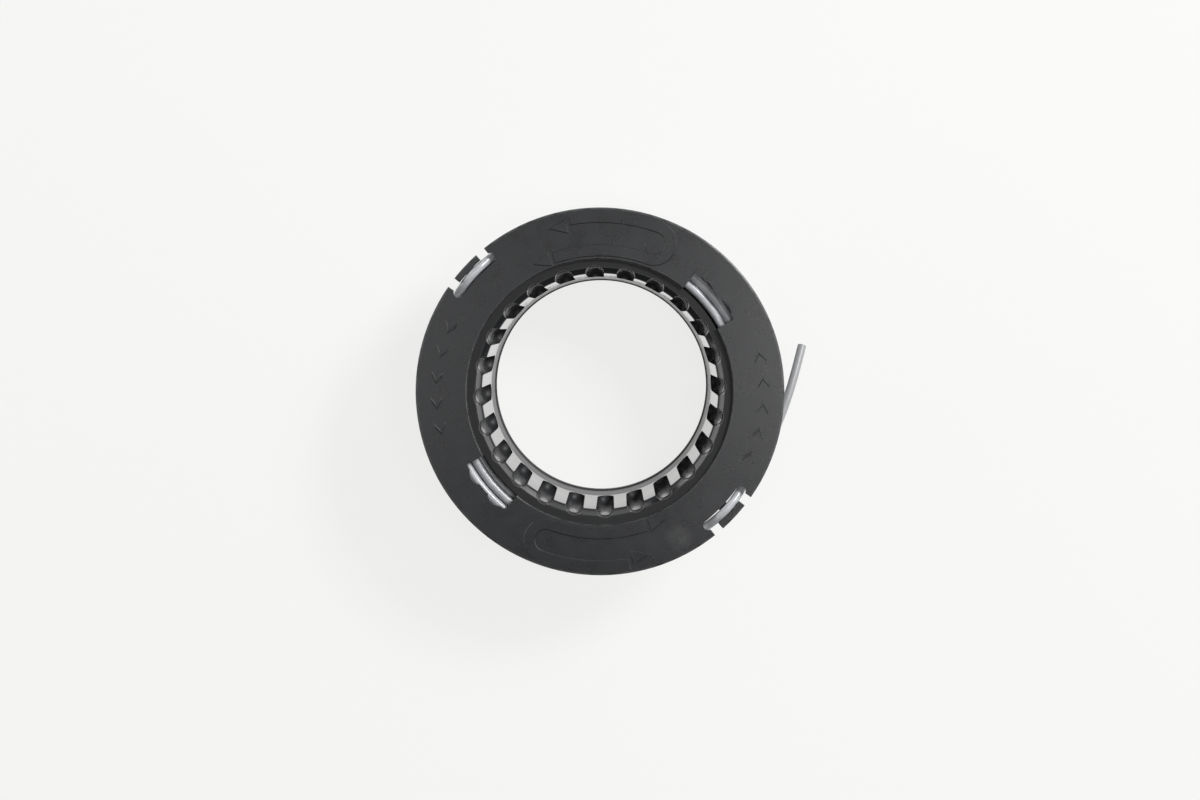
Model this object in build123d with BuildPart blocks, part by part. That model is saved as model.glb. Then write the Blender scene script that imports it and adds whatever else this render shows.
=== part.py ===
"""Trimmer line spool: one moulded body wound with two lengths of cutting line."""

import os
from math import cos, radians, sin, tan

from build123d import *

# Radii of the hub, as steps outwards from the bore that centres the spool, in millimetres
bore_radius = 24.8
throat_step = 0.25
tooth_foot_step = 0.7
tooth_draft = 1.35
pocket_depth = 1.8
lead_in_run = 1.4
ledge_width = 1.9
recess_lip = 0.2

# Radii of the two flanges and the divider
channel_depth = 12.0
lower_flange_inset = 2.2
divider_inset = 3.2
rim_rounding = 0.4

# Heights from the underside, and depths from the top
overall_height = 26.0
flange_thickness = 1.8
lower_flange_thickness = 1.8
divider_thickness = 1.6
bore_length = 2.0
throat_foot_height = 2.3
pocket_floor_height = 7.0
recess_depth = 0.9
recess_rounding = 0.3
lead_in_height = 1.3
lead_in_rounding = 1.2

# Ring of drive pockets inside the drum
pocket_count = 24
pocket_first_angle = 2.5
pocket_top_half_width = 2.15
pocket_floor_half_width = 1.9
pocket_lean = 2.7
pocket_flare = 0.25
pocket_flare_height = 2.7

# Two windows through the top flange, angles from the middle of each
window_angle = 40.0
window_step = 0.1
window_half_angle = 11.4
window_depth = 4.6
window_lobe_radius = 2.6
window_lobe_reach = 2.87
window_lobe_angle = 5.65

# Two line-holding notches in the rim of the top flange, angles from the middle of each
notch_angle = 137.0
notch_opening_half_angle = 8.2
notch_bar_half_angle = 4.9
notch_bar_width = 1.55
notch_slot_width = 2.35
notch_slot_bend_half_angle = 7.9
saddle_half_angle = 1.7
saddle_drop = 1.6
saddle_thickness = 1.0
saddle_root = 0.7
saddle_toe = 1.2

# Raised marks on the top flange: hairpin winding arrows and rows of chevrons
mark_height = 0.2
mark_bevel = 0.16
arrow_bend_angle = 70.0
arrow_outer_leg_inset = 2.15
arrow_inner_leg_inset = 2.25
arrow_band_width = 2.7
arrow_outer_leg_end = 100.0
arrow_inner_leg_end = 109.0
arrow_head_half_width = 1.75
arrow_head_length = 4.2
arrow_head_gap = 0.7
arrow_outer_head_inset = 1.4
chevron_inset = 4.8
chevron_half_height = 1.35
chevron_sweep = 1.0
chevron_width = 1.0
chevron_angles = [156.0, 165.0, 174.0, 183.0, 192.0]

# Cutting line and its windings
line_diameter = 2.0
core_slack = 0.37
seat_clearance = 0.05
turn_pitch = 2.05
layer_pitch = 2.03
turn_groove = 0.5
free_rim = 1.5

# Routes of the two unwound line ends: angle in degrees, distance in from the flange's rim,
# and depth below the top of the spool, or below the divider while still in the lower channel
upper_tail_route = [
    (70.0, 3.95, 3.05),
    (80.0, 3.85, 3.00),
    (90.0, 3.60, 3.00),
    (100.0, 3.20, 3.00),
    (110.0, 2.90, 3.00),
    (118.5, 2.75, 3.05),
    (124.0, 2.70, 3.10),
    (128.0, 2.70, 2.95),
    (131.4, 2.70, 1.50),
    (135.0, 2.75, 0.48),
    (139.0, 2.80, 0.48),
    (142.6, 2.85, 1.50),
    (146.0, 2.85, 2.95),
    (150.0, 2.85, 3.65),
    (155.5, 2.80, 4.00),
    (161.0, 2.60, 4.20),
]
lower_tail_start = [
    (204.0, 3.95, 2.00),
    (214.0, 3.80, 2.00),
    (224.0, 3.40, 1.90),
    (234.0, 2.65, 1.60),
    (244.0, 2.00, 0.80),
    (254.0, 1.75, -0.70),
]
lower_tail_route = [
    (264.0, 1.75, 11.10),
    (274.0, 1.80, 8.90),
    (284.0, 1.90, 6.80),
    (293.0, 2.10, 5.05),
    (299.5, 2.30, 3.95),
    (304.0, 2.45, 3.30),
    (308.0, 2.60, 2.95),
    (311.4, 2.65, 1.50),
    (315.0, 2.70, 0.48),
    (319.0, 2.70, 0.48),
    (322.6, 2.70, 1.50),
    (326.0, 2.70, 2.95),
    (330.5, 2.55, 3.85),
    (337.0, 2.10, 5.00),
    (345.0, 1.10, 6.45),
    (353.0, -0.25, 8.05),
    (360.5, -1.90, 9.85),
    (367.0, -3.80, 11.80),
    (372.0, -5.70, 13.75),
]

# Sizes that follow from those above
throat_radius = bore_radius + throat_step
tooth_foot_radius = throat_radius + tooth_foot_step
tooth_top_radius = tooth_foot_radius + tooth_draft
pocket_outer_radius = tooth_top_radius + pocket_depth
ledge_inner_radius = tooth_top_radius + lead_in_run
recess_radius = ledge_inner_radius + ledge_width
drum_radius = recess_radius - recess_lip
flange_radius = drum_radius + channel_depth
lower_flange_radius = flange_radius - lower_flange_inset
divider_radius = flange_radius - divider_inset
flange_underside = overall_height - flange_thickness
channel_height = (flange_underside - lower_flange_thickness - divider_thickness) / 2
divider_bottom = lower_flange_thickness + channel_height
divider_top = divider_bottom + divider_thickness
ledge_height = overall_height - recess_depth
tooth_top_height = ledge_height - lead_in_height
pocket_top_radius = pocket_outer_radius - pocket_top_half_width
pocket_bend_height = pocket_floor_height + pocket_floor_half_width
pocket_rise = overall_height - pocket_bend_height
pocket_foot_radius = pocket_top_radius - pocket_rise * tan(radians(pocket_lean))
flare_foot_height = ledge_height - pocket_flare_height
window_outer_radius = drum_radius + window_depth
window_lobe_centre_radius = drum_radius + window_lobe_reach
notch_slot_outer = flange_radius - notch_bar_width
notch_slot_inner = notch_slot_outer - notch_slot_width
notch_slot_middle = notch_slot_outer - notch_slot_width / 2
arrow_outer_leg_radius = flange_radius - arrow_outer_leg_inset
arrow_inner_leg_radius = drum_radius + arrow_inner_leg_inset
arrow_middle_radius = (arrow_outer_leg_radius + arrow_inner_leg_radius) / 2
arrow_half_band = arrow_band_width / 2
chevron_radius = flange_radius - chevron_inset
line_radius = line_diameter / 2
turn_count = int((channel_height - 2 * seat_clearance) // turn_pitch)
layer_count = int((divider_radius - free_rim - drum_radius - core_slack) // layer_pitch)
half_turns = (0.0, 180.0)


def polar(radius, angle, along=0.0):
    """A flat point at a radius and an angle in degrees, moved along the tangent there."""
    c, s = cos(radians(angle)), sin(radians(angle))
    return (radius * c - along * s, radius * s + along * c)


def sector(inner, outer, start, end):
    """Draw a ring sector's outline in the open line block."""
    CenterArc((0, 0), inner, start, end - start)
    CenterArc((0, 0), outer, start, end - start)
    Line(polar(inner, start), polar(outer, start))
    Line(polar(inner, end), polar(outer, end))


def hairpin_band():
    """Draw the outline of the hairpin band: both edges of its legs and bend, and its two ends."""
    for half_width in (-arrow_half_band, arrow_half_band):
        outer = arrow_outer_leg_radius + half_width
        inner = arrow_inner_leg_radius - half_width
        CenterArc((0, 0), outer, arrow_bend_angle, arrow_outer_leg_end - arrow_bend_angle)
        CenterArc((0, 0), inner, arrow_bend_angle, arrow_inner_leg_end - arrow_bend_angle)
        ThreePointArc(
            polar(outer, arrow_bend_angle),
            polar(arrow_middle_radius, arrow_bend_angle, -(outer - inner) / 2),
            polar(inner, arrow_bend_angle),
        )
    for radius, angle in (
        (arrow_outer_leg_radius, arrow_outer_leg_end),
        (arrow_inner_leg_radius, arrow_inner_leg_end),
    ):
        Line(polar(radius - arrow_half_band, angle), polar(radius + arrow_half_band, angle))


def arrow_head(radius, angle):
    """Draw an arrow head's outline that points counter-clockwise from the end of a leg."""
    Polyline(
        polar(radius - arrow_head_half_width, angle, arrow_head_gap),
        polar(radius + arrow_head_half_width, angle, arrow_head_gap),
        polar(radius, angle, arrow_head_gap + arrow_head_length),
        close=True,
    )


def chevron(angle):
    """Draw a chevron's outline that points counter-clockwise."""
    low, high = chevron_radius - chevron_half_height, chevron_radius + chevron_half_height
    Polyline(
        polar(low, angle, -chevron_sweep),
        polar(chevron_radius, angle, chevron_sweep),
        polar(high, angle, -chevron_sweep),
        polar(high, angle, chevron_width - chevron_sweep),
        polar(chevron_radius, angle, chevron_width + chevron_sweep),
        polar(low, angle, chevron_width - chevron_sweep),
        close=True,
    )


def winding_outline(channel_floor):
    """Draw the section of a full winding: a plain core and underside, and a ridge for each turn that shows."""
    core = drum_radius + core_slack
    layers = [core + line_radius + i * layer_pitch for i in range(layer_count)]
    first = channel_floor + seat_clearance + line_radius
    turns = [first + i * turn_pitch for i in range(turn_count)]
    bottom, top, outside = turns[0] - line_radius, turns[-1] + line_radius, layers[-1] + line_radius
    crest = line_radius * tan(radians(22.5))
    groove = outside - turn_groove
    outline = [(core, bottom), (layers[-1] + crest, bottom), (outside, turns[0] - crest)]
    for z in turns[:-1]:
        outline += [(outside, z + crest), (groove, z + turn_pitch / 2), (outside, z + turn_pitch - crest)]
    outline.append((outside, turns[-1] + crest))
    groove = top - turn_groove
    for r in layers[:0:-1]:
        outline += [(r + crest, top), (r - crest, top), (r - layer_pitch / 2, groove)]
    outline += [(layers[0] + crest, top), (layers[0] - crest, top), (core, turns[-1] + crest)]
    Polyline(*outline, close=True)


def route_points(route, datum):
    """A line end's route as points in space, with its depths measured from a height."""
    return [Vector(*polar(flange_radius - inset, angle), datum - depth) for angle, inset, depth in route]


def bend_radii(points):
    """The largest bend that the two runs at each inner point of a route leave room for."""
    radii = []
    for before, here, after in zip(points, points[1:], points[2:]):
        turn = (here - before).get_angle(after - here)
        shorter = min((here - before).length, (after - here).length)
        radii.append(0.45 * shorter / tan(radians(turn / 2)))
    return radii


os.makedirs("parts", exist_ok=True)

# Spool body
with BuildPart() as spool_body:
    with BuildSketch(Plane.XZ) as section:
        with BuildLine():
            Polyline(
                (bore_radius, 0),
                (lower_flange_radius, 0),
                (lower_flange_radius, lower_flange_thickness),
                (drum_radius, lower_flange_thickness),
                (drum_radius, divider_bottom),
                (divider_radius, divider_bottom),
                (divider_radius, divider_top),
                (drum_radius, divider_top),
                (drum_radius, flange_underside),
                (flange_radius, flange_underside),
                (flange_radius, overall_height),
                (recess_radius, overall_height),
                (recess_radius, ledge_height),
                (ledge_inner_radius, ledge_height),
                (tooth_top_radius, tooth_top_height),
                (tooth_foot_radius, pocket_floor_height),
                (throat_radius, throat_foot_height),
                (bore_radius, bore_length),
                close=True,
            )
        make_face()
        fillet(section.vertices().filter_by(lambda v: v.X > recess_radius + rim_rounding), rim_rounding)
        recess_edge = section.vertices().sort_by_distance((recess_radius, overall_height)).first
        fillet(recess_edge, recess_rounding)
        lead_in_edge = section.vertices().sort_by_distance((tooth_top_radius, tooth_top_height)).first
        fillet(lead_in_edge, lead_in_rounding)
    revolve(axis=Axis.Z)

    # Drive pockets that lean outwards, with rounded floors and flared mouths, open towards the axis
    with PolarLocations(pocket_foot_radius, pocket_count, pocket_first_angle):
        with Locations(Location((0, 0, pocket_bend_height), (0, pocket_lean, 0))):
            Cone(
                pocket_floor_half_width,
                pocket_top_half_width,
                pocket_rise,
                align=(Align.CENTER, Align.CENTER, Align.MIN),
                mode=Mode.SUBTRACT,
            )
            Sphere(pocket_floor_half_width, mode=Mode.SUBTRACT)
    with Locations((0, 0, flare_foot_height)):
        with PolarLocations(pocket_top_radius, pocket_count, pocket_first_angle):
            Cone(
                pocket_top_half_width - pocket_flare / 4,
                pocket_top_half_width + pocket_flare,
                overall_height - flare_foot_height,
                align=(Align.CENTER, Align.CENTER, Align.MIN),
                mode=Mode.SUBTRACT,
            )

    for half_turn in half_turns:
        # Window with two lobes on its outer side
        with BuildSketch(Plane.XY.offset(flange_underside).rotated((0, 0, window_angle + half_turn))):
            with BuildLine():
                sector(drum_radius + window_step, window_outer_radius, -window_half_angle, window_half_angle)
            make_face()
            for lobe_angle in (-window_lobe_angle, window_lobe_angle):
                with Locations(polar(window_lobe_centre_radius, lobe_angle)):
                    Circle(window_lobe_radius)
        extrude(amount=flange_thickness, mode=Mode.SUBTRACT)

        # Notch: an arc slot behind a bar, open to the rim at both ends of the bar
        notch_plane = Plane.XY.offset(flange_underside).rotated((0, 0, notch_angle + half_turn))
        with BuildSketch(notch_plane):
            for side in (-1, 1):
                with BuildLine():
                    sector(
                        notch_slot_middle,
                        flange_radius + rim_rounding,
                        side * notch_bar_half_angle,
                        side * notch_opening_half_angle,
                    )
                make_face()
            with BuildLine():
                CenterArc((0, 0), notch_slot_middle, -notch_slot_bend_half_angle, 2 * notch_slot_bend_half_angle)
            trace(line_width=notch_slot_width)
            for end_angle in (-notch_slot_bend_half_angle, notch_slot_bend_half_angle):
                with Locations(polar(notch_slot_middle, end_angle)):
                    Circle(notch_slot_width / 2)
        extrude(amount=flange_thickness, mode=Mode.SUBTRACT)

        # Low saddle that joins the bar to the flange under the line
        saddle_plane = Plane.XY.offset(overall_height - saddle_drop).rotated((0, 0, notch_angle + half_turn))
        with BuildSketch(saddle_plane):
            with BuildLine():
                sector(
                    notch_slot_inner - saddle_root,
                    notch_slot_outer + saddle_toe,
                    -saddle_half_angle,
                    saddle_half_angle,
                )
            make_face()
        extrude(amount=-saddle_thickness)

        # Raised winding arrow and chevrons
        with BuildSketch(Plane.XY.offset(overall_height).rotated((0, 0, half_turn))):
            with BuildLine():
                hairpin_band()
            make_face()
            with BuildLine():
                arrow_head(arrow_outer_leg_radius - arrow_outer_head_inset, arrow_outer_leg_end)
            make_face()
            with BuildLine():
                arrow_head(arrow_inner_leg_radius, arrow_inner_leg_end)
            make_face()
            for angle in chevron_angles:
                with BuildLine():
                    chevron(angle)
                make_face()
        extrude(amount=mark_height)
    mark_edges = spool_body.edges().group_by(Axis.Z)[-1]
    chamfer(mark_edges, length=mark_bevel)
spool_body.part.label = "spool_body"
export_step(spool_body.part, "parts/spool_body.step")

# Two lengths of line: the turns of each as one solid, and the end that is hooked over its notch
upper_tail = route_points(upper_tail_route, overall_height)
lower_tail = route_points(lower_tail_start, divider_bottom)
lower_tail += route_points(lower_tail_route, overall_height)
for name, channel_floor, points in (
    ("upper", divider_top, upper_tail),
    ("lower", lower_flange_thickness, lower_tail),
):
    with BuildPart() as winding:
        with BuildSketch(Plane.XZ):
            with BuildLine():
                winding_outline(channel_floor)
            make_face()
        revolve(axis=Axis.Z)
    winding.part.label = f"{name}_winding"
    export_step(winding.part, f"parts/{name}_winding.step")

    radii = bend_radii(points)
    with BuildPart() as tail:
        with BuildLine() as path:
            FilletPolyline(*points, radius=radii)
        with BuildSketch(Plane(origin=path.line @ 0, z_dir=path.line % 0)):
            Circle(line_radius)
        sweep()
    tail.part.label = f"{name}_line_tail"
    export_step(tail.part, f"parts/{name}_line_tail.step")
    print(f"{name} tail: length {path.wire().length:.1f}, bend radii", " ".join(f"{r:.1f}" for r in radii))
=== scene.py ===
"""Trimmer line spool: finishes its moulded body, winds its two cutting lines and sets the stage."""

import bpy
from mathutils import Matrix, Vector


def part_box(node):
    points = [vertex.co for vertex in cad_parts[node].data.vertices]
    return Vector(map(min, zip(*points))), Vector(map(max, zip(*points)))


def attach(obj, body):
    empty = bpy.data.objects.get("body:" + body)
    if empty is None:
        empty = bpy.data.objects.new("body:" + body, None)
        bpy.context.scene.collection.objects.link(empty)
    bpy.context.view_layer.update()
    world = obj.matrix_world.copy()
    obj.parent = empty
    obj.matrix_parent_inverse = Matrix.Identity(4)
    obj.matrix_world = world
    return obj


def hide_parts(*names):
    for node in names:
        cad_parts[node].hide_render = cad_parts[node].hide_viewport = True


bl_info = {
    "name": "Trimmer line spool",
    "version": (1, 0, 0),
    "blender": (4, 5, 0),
    "location": "View3D > Sidebar > Spool",
    "description": "Finishes a moulded spool, winds its cutting lines and lights it on a pale floor",
    "category": "Object",
}

from math import cos, radians, sin

import bmesh
import bpy
from bpy.props import FloatProperty, FloatVectorProperty, IntProperty, PointerProperty
from mathutils import Matrix, Vector

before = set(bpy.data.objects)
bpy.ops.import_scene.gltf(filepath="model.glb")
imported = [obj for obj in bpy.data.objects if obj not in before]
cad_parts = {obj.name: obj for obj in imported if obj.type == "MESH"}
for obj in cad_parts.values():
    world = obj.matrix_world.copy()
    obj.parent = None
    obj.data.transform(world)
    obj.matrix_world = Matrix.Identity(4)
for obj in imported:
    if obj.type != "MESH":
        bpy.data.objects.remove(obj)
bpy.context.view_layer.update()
body_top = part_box("spool_body")[1].z
MM = 0.001

# Windings of the two lines: radius of each layer and height of each turn, in millimetres
LAYER_RADII = (31.75, 33.78, 35.75)
UPPER_TURN_HEIGHTS = (14.85, 16.90, 18.95, 21.00, 23.05)
LOWER_TURN_HEIGHTS = (2.85, 4.90, 6.95, 9.00, 11.05)

# Routes of the two unwound line ends: angle in degrees, radius and height in millimetres
UPPER_TAIL = (
    (70.0, 38.25, 22.95),
    (80.0, 38.35, 23.00),
    (90.0, 38.60, 23.00),
    (100.0, 39.00, 23.00),
    (110.0, 39.30, 23.00),
    (118.5, 39.45, 22.95),
    (124.0, 39.50, 22.90),
    (128.0, 39.55, 22.95),
    (131.4, 39.58, 24.35),
    (135.0, 39.62, 25.52),
    (139.0, 39.62, 25.52),
    (142.6, 39.52, 24.35),
    (146.0, 39.42, 22.95),
    (150.0, 39.38, 22.35),
    (155.5, 39.40, 22.00),
    (161.0, 39.60, 21.80),
)
LOWER_TAIL = (
    (204.0, 38.25, 10.20),
    (214.0, 38.40, 10.20),
    (224.0, 38.80, 10.30),
    (234.0, 39.55, 10.60),
    (244.0, 40.20, 11.40),
    (254.0, 40.45, 12.90),
    (264.0, 40.45, 14.90),
    (274.0, 40.40, 17.10),
    (284.0, 40.30, 19.20),
    (293.0, 40.10, 20.95),
    (299.5, 39.90, 22.05),
    (304.0, 39.75, 22.70),
    (308.0, 39.65, 22.95),
    (311.4, 39.63, 24.35),
    (315.0, 39.62, 25.52),
    (319.0, 39.62, 25.52),
    (322.6, 39.56, 24.35),
    (326.0, 39.52, 22.95),
    (330.5, 39.65, 22.15),
    (337.0, 40.10, 21.00),
    (345.0, 41.10, 19.55),
    (353.0, 42.45, 17.95),
    (360.5, 44.10, 16.15),
    (367.0, 46.00, 14.20),
    (372.0, 47.90, 12.25),
)

# How the turns cross over, in degrees: the angle at which a layer starts, how far into a turn the step to
# the next one begins and how long it takes, and how much later the innermost layer takes its last step
LAYER_START = 190.0
STEP_FROM = 240.0
STEP_SPAN = 60.0
LATE_STEP = 180.0

# The climb to the next layer, in degrees: how far before the layer's end it begins and how long it takes
CLIMB_LEAD = 152.0
CLIMB_SPAN = 360.0

# How far before its unwound end, in degrees, a line begins to leave the turns and has the end's radius
UPPER_RISE = (90.0, 0.0)
LOWER_RISE = (174.0, 89.0)

# The last turn sinks where the one under it leaves room: angle and reach in degrees, depth in millimetres
SINK_ANGLE = 218.0
SINK_REACH = 110.0
SINK_DEPTH = 0.85

# The outermost layer sways: how many of each of two waves go into a turn, and the second one's lag in degrees
SWAY_WAVES = (0.37, 1.31)
SWAY_LAG = 40.0

# Resolution of a line along its length and round its section
LENGTH_RESOLUTION = 4
SECTION_RESOLUTION = 4

# Heights between which a finish of the body fades in, or out where the first is higher, in metres
FLANGE_TOP = (0.0238, 0.0259)
EDGE_TOP = (0.0252, 0.0259)
SOCKET_FLOOR = (0.0108, 0.0088)
SOCKET_MOUTH = (0.0246, 0.0240)
GLOSS_END = (0.0238, 0.0232)
THROAT = (0.0072, 0.0066)
BORE_LAND = (0.0034, 0.0024)

# Radii between which a finish of the body or the line fades in, or out where the first is larger, in metres
POLISHED = (0.0289, 0.0285)
LEDGE_OUTSIDE = (0.0304, 0.0302)
LEDGE_INSIDE = (0.0284, 0.0287)
SOCKET_WALL = (0.0271, 0.0279)
FREE_END = (0.0400, 0.0430)

# Rubbed edges of the flange, with a painted highlight on the rim: radius and reach in metres
RIM = (0.0420, 0.00042)
LIP = (0.0306, 0.00035)

# Faces between the sockets: radius at their foot, height of the foot and slope, then the depth behind them
# at which a socket begins, in metres
TOOTH_FOOT = 0.02575
TOOTH_FOOT_HEIGHT = 0.007
TOOTH_SLOPE = 0.0823
SOCKET_DEPTH = (0.00003, 0.00012)

# Pale patch on the flange: its middle, and the distances at which it ends and is full, in metres
PALE_PATCH_X = 0.0182
PALE_PATCH_Y = -0.0335
PALE_PATCH_FADE = (0.0040, 0.0002)

# Waves of the plastic's patterns to the metre; a scuff's are outwards, to the radian and upwards
CLOUD_WAVES = 240.0
SCUFF_WAVES = (5200.0, 7.0, 900.0)
PATCH_WAVES = 95.0
SMUDGE_WAVES = 70.0
WORN_WAVES = 420.0

# How much each kind of wear and the pale patch show, and how much the clouds and the ledge change the plastic
LIP_WEAR = 0.45
SCUFF_WEAR = 0.12
SMUDGE_WEAR = 0.06
PALE_PATCH_AMOUNTS = (0.15, 0.45)
CLOUD_SHADES = (0.72, 1.28)
# The ledge's darker share of the plastic colour is painted shade for its recess
LEDGE_PAINTED_SHADE = 0.45
CLOUD_ROUGHNESS = 0.10
LEDGE_ROUGHNESS = 0.38

# Polished inside of the drum: its roughness, what parts of it add to that, its coat, and the share of
# the grain that is gone
POLISHED_ROUGHNESS = 0.12
SOCKET_FLOOR_DULLED = 0.42
SOCKET_WALL_DULLED = 0.28
THROAT_DULLED = 0.11
BORE_LAND_DULLED = 0.30
POLISHED_COAT = 0.95
GRAIN_POLISHED_OFF = 0.8

# Waves of the nylon's patterns to the metre; a streak's are outwards, to the radian and upwards
NYLON_CLOUD_WAVES = 310.0
STREAK_WAVES = (6500.0, 9.0, 6500.0)

# Nylon's roughness, what clouds, streaks and the dull end add to it, the streaks' share of its tone and
# their depth in metres
NYLON_ROUGHNESS = 0.14
NYLON_CLOUD_ROUGHNESS = 0.10
STREAK_ROUGHNESS = 0.05
DULL_ROUGHNESS = 0.15
STREAK_SHARE = 0.45
STREAK_DEPTH = 0.0000008

# Floor: waves of its mottle to the metre, how much paler that is, the white that it is seen as, and the
# number of its sides
MOTTLE_WAVES = 60.0
MOTTLE_SHADE = 1.012
FLOOR_WHITE = (0.94, 0.94, 0.93)
FLOOR_SEGMENTS = 96

# Soft lights: name, place, width and height in metres, the power that each goes by and its share of that
SOFTBOXES = (
    ("key_light", (0.66, 0.56, 0.70), 0.30, 0.30, "key_power", 1.0),
    ("top_light_east", (0.20, -0.02, 0.73), 0.16, 0.22, "top_power", 1.0),
    ("top_light_west", (-0.20, -0.01, 0.73), 0.16, 0.22, "top_power", 0.35),
    ("low_light_east", (0.92, 0.36, 0.23), 1.60, 0.26, "side_power", 1.9),
    ("low_light_west", (-0.98, 0.17, 0.21), 1.50, 0.26, "side_power", 1.7),
    ("low_light_north", (0.10, 0.99, 0.29), 1.30, 0.26, "side_power", 0.8),
)

# Camera: width of its sensor in millimetres and the nearest thing that it sees in metres
SENSOR_WIDTH = 36.0
CLIP_START = 0.01


class BodyLook(bpy.types.PropertyGroup):
    """Colours and finish of the moulded body."""

    plastic_colour: FloatVectorProperty(
        name="Plastic",
        description="Colour of the moulded plastic",
        subtype="COLOR",
        size=3,
        min=0.0,
        max=1.0,
        default=(0.0125, 0.0133, 0.0150),
    )
    # Also the colour of the painted highlight along the rim
    wear_and_highlight_colour: FloatVectorProperty(
        name="Worn edge",
        description="Colour of edges and scuffs where the plastic has been rubbed",
        subtype="COLOR",
        size=3,
        min=0.0,
        max=1.0,
        default=(0.075, 0.077, 0.078),
    )
    roughness: FloatProperty(
        name="Roughness",
        description="Roughness of the satin faces",
        subtype="FACTOR",
        min=0.0,
        max=1.0,
        default=0.28,
    )
    grain_size: FloatProperty(
        name="Grain size",
        description="Size of the fine grain that the mould leaves",
        unit="LENGTH",
        min=0.00005,
        default=0.00028,
    )
    grain_depth: FloatProperty(
        name="Grain depth",
        description="Depth of the fine grain that the mould leaves",
        unit="LENGTH",
        min=0.0,
        default=0.000006,
    )


class LineLook(bpy.types.PropertyGroup):
    """Size, lay and colours of the cutting line."""

    diameter: FloatProperty(
        name="Diameter",
        description="Thickness of the cutting line",
        unit="LENGTH",
        min=0.0005,
        default=0.002,
    )
    points_a_turn: IntProperty(
        name="Points a turn",
        description="Control points in each wound turn",
        min=12,
        default=24,
    )
    wander: FloatProperty(
        name="Wander",
        description="How far the outermost turns stand off the even winding",
        unit="LENGTH",
        min=0.0,
        default=0.00016,
    )
    line_colour: FloatVectorProperty(
        name="Line",
        description="Colour of the nylon line",
        subtype="COLOR",
        size=3,
        min=0.0,
        max=1.0,
        default=(0.50, 0.515, 0.54),
    )
    cloud_colour: FloatVectorProperty(
        name="Cloud",
        description="Colour of the milky clouds in the nylon",
        subtype="COLOR",
        size=3,
        min=0.0,
        max=1.0,
        default=(0.64, 0.65, 0.67),
    )
    # The free end's darker colour is painted shade
    free_end_shade_colour: FloatVectorProperty(
        name="Dull end",
        description="Colour of the free end of the line, which is rubbed and dirty",
        subtype="COLOR",
        size=3,
        min=0.0,
        max=1.0,
        default=(0.34, 0.345, 0.35),
    )


class StageLook(bpy.types.PropertyGroup):
    """Floor, lights and camera."""

    floor_colour: FloatVectorProperty(
        name="Floor",
        description="Colour of the pale floor",
        subtype="COLOR",
        size=3,
        min=0.0,
        max=1.0,
        default=(0.90, 0.90, 0.90),
    )
    floor_glow: FloatProperty(
        name="Floor glow",
        description="Share of the floor that is seen as plain white and takes no shadow",
        subtype="FACTOR",
        min=0.0,
        max=1.0,
        default=0.84,
    )
    floor_radius: FloatProperty(
        name="Floor radius",
        description="Radius of the round floor",
        unit="LENGTH",
        min=0.5,
        default=6.0,
    )
    sky_strength: FloatProperty(
        name="Sky strength",
        description="Strength of the even light from all round",
        min=0.0,
        default=0.11,
    )
    key_power: FloatProperty(
        name="Key power",
        description="Power of the slanting softbox that gives the shadows their direction",
        unit="POWER",
        min=0.0,
        default=10.0,
    )
    top_power: FloatProperty(
        name="Top power",
        description="Power of the brighter of the two softboxes overhead",
        unit="POWER",
        min=0.0,
        default=0.92,
    )
    side_power: FloatProperty(
        name="Side power",
        description="Power that each of the three low softboxes takes its share of",
        unit="POWER",
        min=0.0,
        default=2.1,
    )
    camera_place: FloatVectorProperty(
        name="Camera place",
        description="Where the camera stands",
        subtype="TRANSLATION",
        unit="LENGTH",
        size=3,
        default=(0.010083, 0.049078, 0.710076),
    )
    camera_aim: FloatVectorProperty(
        name="Camera aim",
        description="Point that the camera looks at",
        subtype="TRANSLATION",
        unit="LENGTH",
        size=3,
        default=(0.00005, -0.00176, 0.026),
    )
    camera_lens: FloatProperty(
        name="Lens",
        description="Focal length of the camera in millimetres, on a sensor 36 mm wide",
        min=10.0,
        default=90.0,
    )


class Value:
    """A socket's value in shader maths: each operator adds the Math node that works it out."""

    def __init__(self, finish, socket):
        self.finish = finish
        self.socket = socket

    def maths(self, operation, *terms):
        """The result of a Math node on these terms."""
        return self.finish.node("ShaderNodeMath", {"operation": operation}, dict(enumerate(terms)))[0]

    def __add__(self, other):
        return self.maths("ADD", self, other)

    def __radd__(self, other):
        return self.maths("ADD", other, self)

    def __sub__(self, other):
        return self.maths("SUBTRACT", self, other)

    def __rsub__(self, other):
        return self.maths("SUBTRACT", other, self)

    def __mul__(self, other):
        return self.maths("MULTIPLY", self, other)

    def __rmul__(self, other):
        return self.maths("MULTIPLY", other, self)

    def __pow__(self, other):
        return self.maths("POWER", self, other)

    def __abs__(self):
        return self.maths("ABSOLUTE", self)


class Outputs:
    """A node's outputs, each given as a Value."""

    def __init__(self, finish, made):
        self.finish = finish
        self.made = made

    def __getitem__(self, key):
        return Value(self.finish, self.made.outputs[key])


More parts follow.
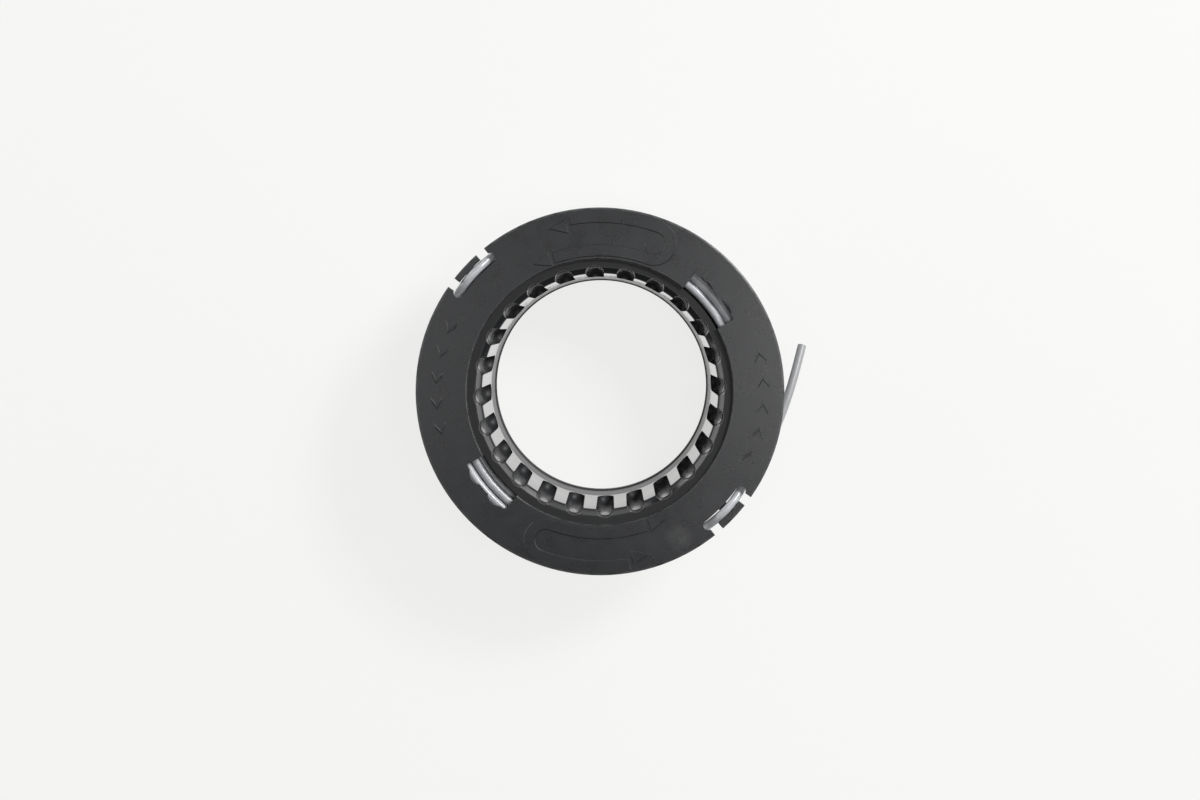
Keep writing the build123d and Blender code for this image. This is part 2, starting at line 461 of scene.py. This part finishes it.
class Finish:
    """A node tree that is filled one node at a time."""

    def __init__(self, owner):
        owner.use_nodes = True
        self.owner = owner
        self.tree = owner.node_tree
        self.tree.nodes.clear()

    def node(self, kind, settings=None, sockets=None):
        """Add a node: its settings are set first, then its sockets' values or links."""
        made = self.tree.nodes.new(kind)
        for key, setting in (settings or {}).items():
            setattr(made, key, setting)
        for key, value in (sockets or {}).items():
            if isinstance(value, Value):
                self.tree.links.new(value.socket, made.inputs[key])
            else:
                made.inputs[key].default_value = value
        return Outputs(self, made)

    def smooth(self, value, low, high):
        """Nought below low, one above high and smooth between, or the other way round."""
        limits = {"Value": value, "From Min": low, "From Max": high}
        return self.node("ShaderNodeMapRange", {"interpolation_type": "SMOOTHSTEP"}, limits)["Result"]

    def near(self, value, target, reach):
        """One at the target, falling to nought at that reach from it."""
        return self.smooth(abs(value - target), reach, 0.0)

    def mix(self, factor, first, second):
        """The first colour turning into the second."""
        colours = {0: factor, 6: first, 7: second}
        return self.node("ShaderNodeMix", {"data_type": "RGBA"}, colours)[2]

    def noise(self, vector, scale, detail=2.0, roughness=0.5):
        """A noise between nought and one, of that many waves a metre."""
        sockets = {"Vector": vector, "Scale": scale, "Detail": detail, "Roughness": roughness}
        return self.node("ShaderNodeTexNoise", None, sockets)["Fac"]

    def around(self, radius, angle, height, waves):
        """A vector for patterns round the axis, with those waves outwards, to the radian and upwards."""
        outwards, onwards, upwards = waves
        parts = {"X": radius * outwards, "Y": angle * onwards, "Z": height * upwards}
        return self.node("ShaderNodeCombineXYZ", None, parts)["Vector"]

    def surface(self, relief, sockets):
        """Close the tree with a shader that has those sockets and that relief, in metres."""
        bump = self.node("ShaderNodeBump", None, {"Strength": 1.0, "Distance": 1.0, "Height": relief})
        shader = self.node("ShaderNodeBsdfPrincipled", None, {**sockets, "Normal": bump["Normal"]})
        self.node("ShaderNodeOutputMaterial", None, {"Surface": shader["BSDF"]})
        return self.owner


def solid(colour, share=1.0):
    """That share of a colour, with full alpha."""
    return (*(min(1.0, share * part) for part in colour), 1.0)


def charcoal_plastic(look):
    """Moulded charcoal plastic: fine grain, clouds, rubbed edges, a painted rim highlight, scuffs, polished
    inside.
    """
    finish = Finish(bpy.data.materials.new("charcoal_plastic"))
    place = finish.node("ShaderNodeTexCoord")["Object"]
    axes = finish.node("ShaderNodeSeparateXYZ", None, {"Vector": place})
    x, y, z = axes["X"], axes["Y"], axes["Z"]
    radius = (x * x + y * y) ** 0.5
    angle = x.maths("ARCTAN2", y, x)

    # Wear on the flange, with a painted highlight along the rim, and a pale patch at one place
    top = finish.smooth(z, *FLANGE_TOP)
    edge = finish.smooth(z, *EDGE_TOP)
    ring = finish.around(radius, angle, z, SCUFF_WAVES)
    patch = finish.smooth(finish.noise(place, PATCH_WAVES, 2.0), 0.46, 0.66)
    scuff = finish.smooth(finish.noise(ring, 1.0, 3.0, 0.62), 0.63, 0.74) * patch * top
    smudge = finish.smooth(finish.noise(place, SMUDGE_WAVES, 2.0), 0.52, 0.74) * top
    aside, along = x - PALE_PATCH_X, y - PALE_PATCH_Y
    pale_patch = finish.smooth((aside * aside + along * along) ** 0.5, *PALE_PATCH_FADE) * top
    worn = finish.smooth(finish.noise(place, WORN_WAVES, 3.0), 0.26, 0.62)
    # The pale line along the rounded rim is wear and also a painted highlight of its rounding
    rubbed = finish.near(radius, *RIM) * edge + finish.near(radius, *LIP) * edge * LIP_WEAR
    pale_patch_share = pale_patch * (PALE_PATCH_AMOUNTS[0] + worn * PALE_PATCH_AMOUNTS[1])
    wear_and_highlight = rubbed * worn + scuff * SCUFF_WEAR + smudge * SMUDGE_WEAR + pale_patch_share

    # Colour: clouds in the plastic, the recessed ledge darkened by painted shade, and pale marks: wear, a
    # painted highlight along the rim and a pale patch
    cloud = finish.noise(place, CLOUD_WAVES, 4.0)
    dark, pale = (solid(look.plastic_colour, share) for share in CLOUD_SHADES)
    ledge = finish.smooth(radius, *LEDGE_OUTSIDE) * finish.smooth(radius, *LEDGE_INSIDE)
    # Painted shade: the recessed ledge takes a darker copy of the plastic colour
    cloud_and_ledge_shade = finish.mix(ledge, finish.mix(cloud, dark, pale), solid(look.plastic_colour, LEDGE_PAINTED_SHADE))
    colour = finish.mix(wear_and_highlight, cloud_and_ledge_shade, solid(look.wear_and_highlight_colour))

    # Roughness: satin outside, polished inside the drum and duller again in parts of it
    satin = look.roughness - CLOUD_ROUGHNESS / 2 + cloud * CLOUD_ROUGHNESS + ledge * LEDGE_ROUGHNESS
    polish = finish.smooth(radius, *POLISHED)
    tooth_face = TOOTH_FOOT + (z - TOOTH_FOOT_HEIGHT) * TOOTH_SLOPE
    socket_floor = finish.smooth(z, *SOCKET_FLOOR) * finish.smooth(radius - tooth_face, *SOCKET_DEPTH)
    socket_wall = finish.smooth(radius, *SOCKET_WALL) * finish.smooth(z, *SOCKET_MOUTH)
    throat = finish.smooth(z, *THROAT)
    dulled = socket_floor * SOCKET_FLOOR_DULLED + socket_wall * SOCKET_WALL_DULLED
    dulled = dulled + throat * THROAT_DULLED + finish.smooth(z, *BORE_LAND) * BORE_LAND_DULLED
    roughness = satin - polish * (look.roughness - POLISHED_ROUGHNESS) + polish * dulled
    gloss = polish * (1.0 - socket_floor) * (1.0 - throat) * finish.smooth(z, *GLOSS_END)

    grain = finish.noise(place, 1.0 / look.grain_size, 1.0, 0.6)
    relief = grain * look.grain_depth * (1.0 - polish * GRAIN_POLISHED_OFF)
    sockets = {
        "Base Color": colour,
        "Roughness": roughness,
        "IOR": 1.5,
        "Specular IOR Level": 0.54,
        "Coat Weight": gloss * POLISHED_COAT,
        "Coat Roughness": 0.12,
    }
    return finish.surface(relief, sockets)


def nylon_line(look):
    """Drawn nylon: smooth, slightly milky, with faint clouds, fine streaks and a dull free end of painted
    shade.
    """
    finish = Finish(bpy.data.materials.new("nylon_line"))
    place = finish.node("ShaderNodeTexCoord")["Object"]
    axes = finish.node("ShaderNodeSeparateXYZ", None, {"Vector": place})
    x, y, z = axes["X"], axes["Y"], axes["Z"]
    radius = (x * x + y * y) ** 0.5
    angle = x.maths("ARCTAN2", y, x)
    dull = finish.smooth(radius, *FREE_END)
    cloud = finish.noise(place, NYLON_CLOUD_WAVES, 3.0)
    streak = finish.noise(finish.around(radius, angle, z, STREAK_WAVES), 1.0, 2.0)
    tone = finish.smooth(cloud * (1.0 - STREAK_SHARE) + streak * STREAK_SHARE, 0.36, 0.64)
    clean = finish.mix(tone, solid(look.line_colour), solid(look.cloud_colour))
    roughness = NYLON_ROUGHNESS + cloud * NYLON_CLOUD_ROUGHNESS + streak * STREAK_ROUGHNESS
    sockets = {
        # Painted shade: the free end of the line is given a darker grey
        "Base Color": finish.mix(dull, clean, solid(look.free_end_shade_colour)),
        "Roughness": roughness + dull * DULL_ROUGHNESS,
        "IOR": 1.53,
        "Transmission Weight": 0.18,
    }
    return finish.surface(streak * STREAK_DEPTH, sockets)


def pale_floor(look):
    """Plain pale floor with the faintest mottle."""
    finish = Finish(bpy.data.materials.new("pale_floor"))
    place = finish.node("ShaderNodeTexCoord")["Object"]
    mottle = finish.noise(place, MOTTLE_WAVES, 3.0)
    colour = finish.mix(mottle, solid(look.floor_colour), solid(look.floor_colour, MOTTLE_SHADE))
    matt = finish.node("ShaderNodeBsdfPrincipled", None, {"Base Color": colour, "Roughness": 0.8})["BSDF"]
    white = {"Color": solid(FLOOR_WHITE), "Strength": 1.0}
    glow = finish.node("ShaderNodeEmission", None, white)["Emission"]
    path = finish.node("ShaderNodeLightPath")
    seen = path["Is Camera Ray"] + path["Is Glossy Ray"] + path["Is Transmission Ray"]
    share = seen.maths("MINIMUM", seen, 1.0) * look.floor_glow
    shader = finish.node("ShaderNodeMixShader", None, {0: share, 1: matt, 2: glow})["Shader"]
    finish.node("ShaderNodeOutputMaterial", None, {"Surface": shader})
    return finish.owner


def ease(start, span, here):
    """Nought at the start, one a span later and smooth between."""
    share = min(max((here - start) / span, 0.0), 1.0)
    return share * share * (3.0 - 2.0 * share)


def polar_point(angle, radius, height):
    """A point in metres from an angle in degrees and a radius and height in millimetres."""
    a = radians(angle)
    return Vector((radius * cos(a), radius * sin(a), height)) * MM


def wound_line(look, heights, tail, rise):
    """Control points of one line: layers of turns from the drum outwards, then its unwound end."""
    step = 360.0 / look.points_a_turn
    # The spline runs a little inside the ring of its control points, so they stand further out
    spread = 1.0 / (0.75 + 0.25 * cos(radians(step)))
    turns = len(heights)
    layer_span = 360.0 * turns
    tail_angle, tail_radius, tail_height = tail[0]
    tail_along = (tail_angle - LAYER_START) % 360.0
    last_span = layer_span if tail_along < STEP_FROM else layer_span - 360.0
    end = layer_span * (len(LAYER_RADII) - 1) + tail_along + last_span
    rise_from, rise_to = rise
    points = []
    for i in range(int(end / step)):
        here = i * step
        layer, along = divmod(here, layer_span)
        layer = int(layer)
        order = heights if layer % 2 == 0 else heights[::-1]
        height = order[0]
        for turn in range(turns - 1):
            late = LATE_STEP if layer == 0 and turn == turns - 2 else 0.0
            step_up = ease(STEP_FROM + late + 360.0 * turn, STEP_SPAN, along)
            height += (order[turn + 1] - order[turn]) * step_up
        radius = LAYER_RADII[0] * spread
        for below, above in enumerate(LAYER_RADII[1:]):
            climb = ease(layer_span * (below + 1) - CLIMB_LEAD, CLIMB_SPAN, here)
            radius += (above - LAYER_RADII[below]) * spread * climb
        if layer + 1 == len(LAYER_RADII):
            sunk_at = layer_span - 360.0 + (SINK_ANGLE - LAYER_START) % 360.0
            radius -= SINK_DEPTH * (1.0 - ease(0.0, SINK_REACH, abs(along - sunk_at)))
            sway = sin(radians(along * SWAY_WAVES[0])) * sin(radians(along * SWAY_WAVES[1] + SWAY_LAG))
            radius += look.wander / MM * (0.5 + 0.5 * sway)
            lift = ease(end - rise_from, rise_from - rise_to, here)
            radius += (tail_radius - radius) * lift
            if rise_to:
                height += (tail_height - height) * ease(end - rise_to, max(rise_to, step), here)
        points.append(polar_point(LAYER_START + here, radius, height))
    return points + [polar_point(*place) for place in tail]


def line_piece(name, points, look, material):
    """One smooth open spline through those control points, with the line's round section."""
    curve = bpy.data.curves.new(name, "CURVE")
    curve.dimensions = "3D"
    curve.bevel_depth = look.diameter / 2
    curve.bevel_resolution = SECTION_RESOLUTION
    curve.resolution_u = LENGTH_RESOLUTION
    curve.use_fill_caps = True
    spline = curve.splines.new("NURBS")
    spline.points.add(len(points) - 1)
    for control, place in zip(spline.points, points):
        control.co = (*place, 1.0)
    spline.order_u = 3
    spline.use_endpoint_u = True
    curve.materials.append(material)
    piece = bpy.data.objects.new(name, curve)
    bpy.context.scene.collection.objects.link(piece)
    return piece


def softbox(name, place, aim, width, height, power):
    """A rectangular soft light that faces a point."""
    lamp = bpy.data.lights.new(name, "AREA")
    lamp.shape = "RECTANGLE"
    lamp.size = width
    lamp.size_y = height
    lamp.energy = power
    box = bpy.data.objects.new(name, lamp)
    bpy.context.scene.collection.objects.link(box)
    facing = (Vector(aim) - Vector(place)).to_track_quat("-Z", "Y")
    box.matrix_world = Matrix.Translation(place) @ facing.to_matrix().to_4x4()


class SPOOL_OT_finish_body(bpy.types.Operator):
    """Give the moulded body its charcoal plastic"""

    bl_idname = "spool.finish_body"
    bl_label = "Finish the body"

    def execute(self, context):
        material = charcoal_plastic(context.scene.spool_body_look)
        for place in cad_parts["spool_body"].material_slots:
            place.material = material
        return {"FINISHED"}


class SPOOL_OT_wind_lines(bpy.types.Operator):
    """Wind both cutting lines and hook their ends over the notches"""

    bl_idname = "spool.wind_lines"
    bl_label = "Wind the lines"

    def execute(self, context):
        look = context.scene.spool_line_look
        material = nylon_line(look)
        points = wound_line(look, UPPER_TURN_HEIGHTS, UPPER_TAIL, UPPER_RISE)
        upper = line_piece("upper_line", points, look, material)
        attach(upper, "root")
        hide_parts("upper_winding", "upper_line_tail")
        tuple(polar_point(LAYER_START, LAYER_RADII[0], UPPER_TURN_HEIGHTS[0]))
        points = wound_line(look, LOWER_TURN_HEIGHTS, LOWER_TAIL, LOWER_RISE)
        lower = line_piece("lower_line", points, look, material)
        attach(lower, "root")
        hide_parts("lower_winding", "lower_line_tail")
        tuple(polar_point(LAYER_START, LAYER_RADII[0], LOWER_TURN_HEIGHTS[0]))
        return {"FINISHED"}


class SPOOL_OT_set_stage(bpy.types.Operator):
    """Lay the floor, hang the lights and place the camera"""

    bl_idname = "spool.set_stage"
    bl_label = "Set the stage"

    def execute(self, context):
        look = context.scene.spool_stage_look
        mesh = bpy.data.meshes.new("floor")
        shape = bmesh.new()
        bmesh.ops.create_circle(shape, cap_ends=True, segments=FLOOR_SEGMENTS, radius=look.floor_radius)
        shape.to_mesh(mesh)
        shape.free()
        mesh.materials.append(pale_floor(look))
        floor = bpy.data.objects.new("floor", mesh)
        context.scene.collection.objects.link(floor)

        world = bpy.data.worlds.new("sky")
        sky = Finish(world)
        light = sky.node("ShaderNodeBackground", None, {"Color": (1, 1, 1, 1), "Strength": look.sky_strength})
        sky.node("ShaderNodeOutputWorld", None, {"Surface": light["Background"]})
        context.scene.world = world
        centre = (0.0, 0.0, body_top)
        for name, place, width, height, power, share in SOFTBOXES:
            softbox(name, place, centre, width, height, share * getattr(look, power))

        camera = bpy.data.cameras.new("camera")
        camera.lens = look.camera_lens
        camera.sensor_width = SENSOR_WIDTH
        camera.clip_start = CLIP_START
        viewer = bpy.data.objects.new("camera", camera)
        context.scene.collection.objects.link(viewer)
        place = Vector(look.camera_place)
        back = (place - Vector(look.camera_aim)).normalized()
        right = Vector((0.0, 1.0, 0.0)).cross(back).normalized()
        turned = Matrix((right, back.cross(right), back)).transposed()
        viewer.matrix_world = Matrix.Translation(place) @ turned.to_4x4()
        context.scene.camera = viewer
        context.scene.view_settings.view_transform = "Standard"
        return {"FINISHED"}


class SPOOL_PT_parts(bpy.types.Panel):
    """Lists the spool's sizes, colours and steps"""

    bl_idname = "SPOOL_PT_parts"
    bl_label = "Trimmer line spool"
    bl_space_type = "VIEW_3D"
    bl_region_type = "UI"
    bl_category = "Spool"

    def draw(self, context):
        for holder, operator in GROUPS:
            look = getattr(context.scene, holder)
            box = self.layout.box()
            for key in type(look).__annotations__:
                box.prop(look, key)
            box.operator(operator.bl_idname)


GROUPS = (
    ("spool_body_look", SPOOL_OT_finish_body),
    ("spool_line_look", SPOOL_OT_wind_lines),
    ("spool_stage_look", SPOOL_OT_set_stage),
)
LOOKS = (BodyLook, LineLook, StageLook)
CLASSES = (*LOOKS, SPOOL_OT_finish_body, SPOOL_OT_wind_lines, SPOOL_OT_set_stage, SPOOL_PT_parts)


def register():
    """Register the classes and give the scene one look of each kind."""
    for cls in CLASSES:
        bpy.utils.register_class(cls)
    for (holder, _), look in zip(GROUPS, LOOKS):
        setattr(bpy.types.Scene, holder, PointerProperty(type=look))


def unregister():
    """Take the looks off the scene and the classes out again."""
    for holder, _ in GROUPS:
        delattr(bpy.types.Scene, holder)
    for cls in reversed(CLASSES):
        bpy.utils.unregister_class(cls)


def main():
    """Build the spool step by step."""
    register()
    bpy.ops.spool.finish_body()
    bpy.ops.spool.wind_lines()
    bpy.ops.spool.set_stage()
    bpy.context.view_layer.update()


if __name__ == "__main__":
    main()
